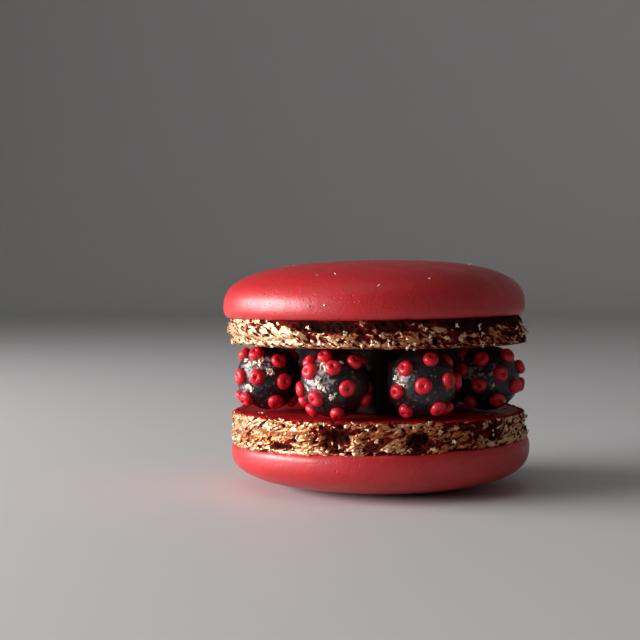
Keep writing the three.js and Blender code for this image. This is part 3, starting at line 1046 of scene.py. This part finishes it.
def make_ball(k, centre, material):
    """One truffle ball, hand-rolled: slightly lumpy, with small pits and patches of bloom and painted sheen.
    """
    spots = bloom_and_sheen_spots(k)
    bm = bmesh.new()
    bmesh.ops.create_icosphere(bm, subdivisions=6, radius=BALL_RADIUS)
    bloom_and_sheen = []
    for vert in bm.verts:
        way = vert.co.normalized()
        place = vert.co + Vector((17.0 * k, 0, 0))
        lumps = sum(depth * noise.noise(place / size) for depth, size in BALL_LUMPS)
        wrinkles = WRINKLE_DEPTH * (0.3 - abs(noise.noise(place / WRINKLE_SIZE)) * 2)
        near_pit = noise.voronoi(place / PIT_SPACING)[0][0]
        pit = PIT_DEPTH * max(0.0, 1 - near_pit / PIT_WIDTH)
        ragged = sum(share * noise.noise(place / size) for share, size in BLOOM_AND_SHEEN_RAGGED)
        bloom_and_sheen_share = max(BLOOM_AND_SHEEN_REACH - math.degrees(way.angle(spot)) / half for spot, half in spots)
        # The pale patches stay out of the pits, which are left dark as painted shade.
        bloom_and_sheen.append(min(1.0, max(0.0, BLOOM_AND_SHEEN_GAIN * bloom_and_sheen_share + ragged)) * min(1.0, near_pit / 0.3))
        vert.co += way * (lumps + wrinkles - pit)
    bmesh.ops.transform(bm, matrix=Matrix.Translation(centre), verts=bm.verts)
    bmesh.ops.scale(bm, vec=Vector((MM, MM, MM)), verts=bm.verts)
    mesh = bpy.data.meshes.new(f"truffle_{k + 1}_ball")
    bm.to_mesh(mesh)
    bm.free()
    piece = smooth_piece(mesh, material)
    point_mask(piece, "bloom_and_sheen", bloom_and_sheen)
    settle(piece, "truffle_dark", f"truffle_{k + 1}")


def one_pearl(draw, size):
    """Points and faces of a dimpled pearl, its axis along Z and its ball's surface at 0. The dimple is
    puckered."""
    rows = turned(even_steps(softened(PEARL_PATH), PEARL_STEP), PEARL_COLUMNS)
    points = rows.reshape(-1, 3)
    angle = np.arctan2(points[:, 1], points[:, 0])
    radius = np.hypot(points[:, 0], points[:, 1])
    folds = draw.choice([4, 5, 6])
    phase = draw.uniform(0, 2 * math.pi)
    pucker = np.exp(-(((radius - PUCKER_RADIUS) / PUCKER_WIDTH) ** 2)) * (points[:, 2] > 0.3)
    points[:, 2] -= draw.uniform(*PUCKER_DEPTHS) * pucker * (1 + np.cos(folds * angle + phase))
    wobble = 1 + lobed(draw, angle, PEARL_LOBES)
    points[:, 0] *= wobble * size
    points[:, 1] *= wobble * size
    points[:, 2] *= draw.uniform(0.88, 1.04)
    poles = [(0, 0, points[:PEARL_COLUMNS, 2].mean() - 0.02), (0, 0, PEARL_BASE)]
    return np.vstack([points, poles]), closed_faces(len(rows), PEARL_COLUMNS)


def make_pearls(centres, pearls, material):
    """All the sugar pearls as one piece."""
    draw = random.Random(41)
    parts = []
    for centre, placed in zip(centres, pearls):
        for way, size in placed:
            points, faces = one_pearl(draw, size)
            turn = np.array((way + any_way(draw) * PEARL_LEAN).to_track_quat("Z", "Y").to_matrix())
            parts.append((points @ turn.T + np.array(way * BALL_RADIUS + centre), faces))
    settle(joined_piece("sugar_pearls", parts, material), "pearl_red", *BALL_NODES)


def core_radius(turn, centres):
    """How far the ganache comes out in one direction: to the nearest ball, or to its reach between two."""
    way = direction(turn, 0)
    radius = CORE_REACH
    for centre in centres:
        offset = centre - Vector((RING_SHIFT, 0, BALL_HEIGHT))
        along = offset.dot(way)
        aside = offset.length_squared - along**2
        if along > 0 and aside < CORE_KEEP_OUT**2:
            radius = min(radius, along - math.sqrt(CORE_KEEP_OUT**2 - aside))
    return radius


def make_core(centres, material):
    """The ganache in the middle, pressed out in soft lobes between the balls."""
    turns = np.linspace(0, 360, CORE_COLUMNS, endpoint=False)
    reach = np.array([core_radius(turn, centres) for turn in turns])
    wrapped = np.concatenate([reach[-CORE_BLUR:], reach, reach[:CORE_BLUR]])
    window = 2 * CORE_BLUR + 1
    reach = np.convolve(wrapped, np.ones(window) / window, "valid")
    radians = np.radians(turns)
    rows = []
    for share in np.linspace(0, 1, CORE_ROWS):
        waist = CORE_BULGE * (1 - math.sin(math.pi * share))
        near_end = 10 * max(0, abs(2 * share - 1) - 0.9)
        radius = reach - waist - CORE_ROUNDING * near_end
        height = CORE_BASE + share * (CORE_TOP - CORE_BASE)
        rows.append(np.stack([radius * np.sin(radians), -radius * np.cos(radians), height + 0 * radius], 1))
    rows = np.array(rows)
    points = rows.reshape(-1, 3)
    uneven = CORE_UNEVEN * soft_noise(points, CORE_UNEVEN_SIZE, 2.0)
    points = points + points * (1, 1, 0) / 10 * uneven[:, None]
    points[:, 0] += RING_SHIFT
    poles = [(RING_SHIFT, 0, CORE_BASE), (RING_SHIFT, 0, CORE_TOP)]
    piece = closed_turned_piece("ganache_filling", points.reshape(rows.shape), *poles, material)
    settle(piece, "ganache", "ganache_core")


# ---------------------------------------------------------------- loose gold leaf

def scrap_points(draw, size):
    """A torn, folded scrap of leaf, as two faces a hair apart, in its own flat frame."""
    steps = np.linspace(-0.5, 0.5, SCRAP_CELLS + 1)
    x, y = np.meshgrid(steps, steps, indexing="ij")
    square = np.stack([x, y], 2).reshape(-1, 2)
    around = np.arctan2(square[:, 1], square[:, 0])
    torn = 0.72 + lobed(draw, around, SCRAP_LOBES)
    jitter = np.array([[draw.uniform(-1, 1) for _ in range(3)] for _ in square])
    flat = square * torn[:, None] * (size, size * draw.uniform(0.5, 0.95)) + jitter[:, :2] * 0.05 * size
    height = jitter[:, 2] * 0.06 * size
    for _ in range(SCRAP_FOLDS):
        fold = draw.uniform(0, math.pi)
        across = square[:, 0] * math.cos(fold) + square[:, 1] * math.sin(fold) - draw.uniform(-0.25, 0.25)
        height += draw.uniform(-0.7, 0.7) * size * np.abs(across)
    top = np.column_stack([flat, height - height.mean()])
    return np.vstack([top, top - (0, 0, SCRAP_THICKNESS)])


def scrap_faces():
    """Faces of a scrap: its top, its underside, and the edge between them."""
    side = SCRAP_CELLS + 1
    under = side * side
    faces = []
    for i in range(SCRAP_CELLS):
        for j in range(SCRAP_CELLS):
            a = i * side + j
            quad = [a, a + side, a + side + 1, a + 1]
            faces.append(quad)
            faces.append([corner + under for corner in reversed(quad)])
    border = [i * side for i in range(side)]
    border += [(side - 1) * side + j for j in range(1, side)]
    border += [i * side + side - 1 for i in range(side - 2, -1, -1)]
    border += [j for j in range(side - 2, 0, -1)]
    for here, ahead in zip(border, border[1:] + border[:1]):
        faces.append([ahead, here, here + under, ahead + under])
    return faces


def make_scraps(name, places, draw, material, *nodes):
    """Scraps of leaf as one piece. A place is (point, outward direction, size, lift of one edge)."""
    faces = scrap_faces()
    parts = []
    for point, outward, size, lift in places:
        turn = (outward + any_way(draw) * lift).to_track_quat("Z", "Y").to_matrix()
        turn = turn @ Matrix.Rotation(draw.uniform(0, 2 * math.pi), 3, "Z")
        parts.append((scrap_points(draw, size) @ np.array(turn).T + np.array(point), faces))
    settle(joined_piece(name, parts, material), "gold_leaf", *nodes)


def make_foot_scraps(shell, material):
    """Loose scraps of leaf that stand off a foot, all round."""
    draw = random.Random(round(shell["seed"] * 10))
    path = foot_path(shell)
    below_lip = path[:, 1] < shell["lip_height"] - FOOT_SCRAPS_BELOW_LIP
    path = path[(path[:, 0] > RIM_RADIUS + 0.1) & below_lip]
    places = []
    for _ in range(FOOT_SCRAPS):
        radius, height = path[draw.randrange(len(path))]
        outward = direction(draw.uniform(0, 360), 0)
        point = outward * (radius + draw.uniform(*FOOT_SCRAP_OFFSETS)) + Vector((0, 0, height))
        placed = foot_placed(np.array([point]), shell)[0]
        if shell["cap_down"]:
            outward = Vector((outward.x, -outward.y, 0))
        places.append((placed, outward, draw.uniform(*FOOT_SCRAP_SIZES), FOOT_SCRAP_LIFT))
    make_scraps(f"{shell['name']}_leaf_scraps", places, draw, material, shell["node"])


def make_cap_specks(shell, material):
    """Tiny specks of leaf on a cap: the placed ones, then some more round the back."""
    draw = random.Random(29)
    path = cap_path(shell)[0]
    path = path[path[:, 1] > shell["widest"] + 0.3]
    slope = np.gradient(path, axis=0)
    behind = [(draw.uniform(*BEHIND), draw.uniform(9, 22)) for _ in range(CAP_SPECKS_BEHIND)]
    places = []
    for turn, radius in CAP_SPECKS + behind:
        at = int(np.argmin(np.abs(path[:, 0] - radius)))
        outward = direction(turn, 0) * slope[at][1] + Vector((0, 0, -slope[at][0]))
        point = direction(turn, 0) * path[at][0] + Vector((0, 0, path[at][1]))
        placed = cap_placed(np.array([point]), shell)[0] + np.array(outward.normalized()) * 0.04
        places.append((placed, outward, draw.uniform(*CAP_SPECK_SIZES), 0.2))
    make_scraps(f"{shell['name']}_cap_specks", places, draw, material, shell["node"])


def make_ledge_flecks(shell, material):
    """Flecks of leaf that fell on the inner face of a shell: the placed ones, then some round the back."""
    draw = random.Random(31)
    behind = [(draw.uniform(*BEHIND), draw.uniform(17.5, 20.3), 0.6) for _ in range(LEDGE_FLECKS_BEHIND)]
    places = []
    for turn, radius, size in LEDGE_FLECKS + behind:
        point = direction(turn, 0) * radius + Vector((0, 0, shell["face_dish"] - 0.06))
        placed = foot_placed(np.array([point]) * (1, -1, 1), shell)[0]
        places.append((placed, Vector((0, 0, 1)), size, 0.5))
    make_scraps(f"{shell['name']}_ledge_flecks", places, draw, material, shell["node"])


def make_ball_flecks(centres, pearls, material):
    """Small heaps of leaf scraps on the balls: the placed ones, then some more on the balls at the back."""
    draw = random.Random(17)
    spots = [(k, direction(turn, tilt), size) for k, turn, tilt, size in PLACED_FLECKS]
    for k in range(BALLS_WITH_PLACED_FLECKS, len(centres)):
        wanted = BALL_FLECKS_BEHIND
        while wanted:
            way = direction(draw.uniform(0, 360), draw.uniform(-45, 45))
            if all(way.angle(pearl) > math.radians(18) for pearl, _ in pearls[k]):
                spots.append((k, way, draw.uniform(0.5, 1.2)))
                wanted -= 1
    places = []
    for k, way, size in spots:
        for _ in range(FLECK_SCRAPS):
            close = (way + any_way(draw) * FLECK_SPREAD * size).normalized()
            point = centres[k] + close * (BALL_RADIUS + 0.1)
            places.append((point, close, size * draw.uniform(0.5, 0.95), 0.3))
    make_scraps("ball_flecks", places, draw, material, *BALL_NODES)


# ---------------------------------------------------------------- studio

def make_floor():
    """A pale round floor that sweeps up far away on every side."""
    path = [(0.001, 0.0), (0.3, 0.0), (FLOOR_RADIUS, 0.0)]
    path += [
        (FLOOR_RADIUS + SWEEP_RADIUS * math.sin(t), SWEEP_RADIUS - SWEEP_RADIUS * math.cos(t))
        for t in np.linspace(0, math.pi / 2, SWEEP_STEPS)[1:]
    ]
    path.append((FLOOR_RADIUS + SWEEP_RADIUS, SWEEP_RISE))
    rows = turned(np.array(path) / MM, FLOOR_COLUMNS)
    material, *_ = new_material("pale_floor", Base_Color=FLOOR_PALE, Roughness=0.6)
    faces = turned_faces(len(path), FLOOR_COLUMNS, False)
    floor = mesh_piece("floor", rows.reshape(-1, 3), faces, material)


def make_light(name, turn, tilt, distance, size, power, colour=(1, 1, 1)):
    """A soft oval light, aimed at the middle of the macaron."""
    data = bpy.data.lights.new(name, "AREA")
    data.shape = "ELLIPSE"
    data.size, data.size_y = size
    data.energy = power
    data.color = colour
    light = in_scene(name, data)
    middle = Vector((0, 0, LIGHTS_AIM))
    light.location = middle + direction(turn, tilt) * distance
    light.rotation_euler = (middle - light.location).to_track_quat("-Z", "Y").to_euler()


def make_studio():
    make_floor()
    make_light(
        "key", turn=-80, tilt=11, distance=0.45, size=(0.56, 0.16), power=4.5, colour=(1.0, 0.965, 0.99)
    )
    make_light("overhead", turn=-50, tilt=68, distance=1.0, size=(1.0, 1.0), power=1.1)
    world = bpy.data.worlds.new("studio")
    bpy.context.scene.world = world
    world.use_nodes = True
    background = world.node_tree.nodes["Background"]
    background.inputs["Color"].default_value = STUDIO_WHITE
    background.inputs["Strength"].default_value = STUDIO_GLOW
    bpy.context.scene.view_settings.view_transform = "Standard"


def make_camera():
    """A camera at table height in front of the macaron, looking a little down and to its left."""
    data = bpy.data.cameras.new("camera")
    data.sensor_width = SENSOR_WIDTH
    data.lens = SENSOR_WIDTH * FOCAL_PIXELS / FRAME_PIXELS
    data.clip_start = 0.005
    camera = in_scene("camera", data)
    camera.location = Vector((0, -CAMERA_DISTANCE, CAMERA_HEIGHT)) * MM
    left = (AXIS_COLUMN - FRAME_PIXELS / 2) / FOCAL_PIXELS
    down = (FRAME_PIXELS / 2 - HORIZON_ROW) / FOCAL_PIXELS
    camera.rotation_euler = Vector((-left, 1, -down)).to_track_quat("-Z", "Y").to_euler()
    bpy.context.scene.camera = camera


# ---------------------------------------------------------------- the macaron

make_camera()
make_studio()

shell_red = baked_shell("baked_shell", SHELL_RED, 0.54)
face_red = baked_shell("baked_face", FACE_RED, 0.1)
leafed = {"lower": leafed_crumb("leafed_crumb_lower", -0.5), "upper": leafed_crumb("leafed_crumb_upper", 0.5)}
scrap_gold = loose_leaf("loose_leaf", SCRAP_GOLD)

for shell in (LOWER_SHELL, UPPER_SHELL):
    make_cap(shell, shell_red)
    make_foot(shell, leafed[shell["name"]])
    make_face(shell, face_red)
    make_foot_scraps(shell, scrap_gold)
make_cap_specks(UPPER_SHELL, scrap_gold)
make_ledge_flecks(LOWER_SHELL, scrap_gold)

ball_centres, pearl_ways = place_pearls()
dark = dark_truffle()
for k, centre in enumerate(ball_centres):
    make_ball(k, centre, dark)
make_pearls(ball_centres, pearl_ways, sugar_pearl())
make_ball_flecks(ball_centres, pearl_ways, loose_leaf("pale_leaf", LIT_FLECK_GOLD))
make_core(ball_centres, ganache())
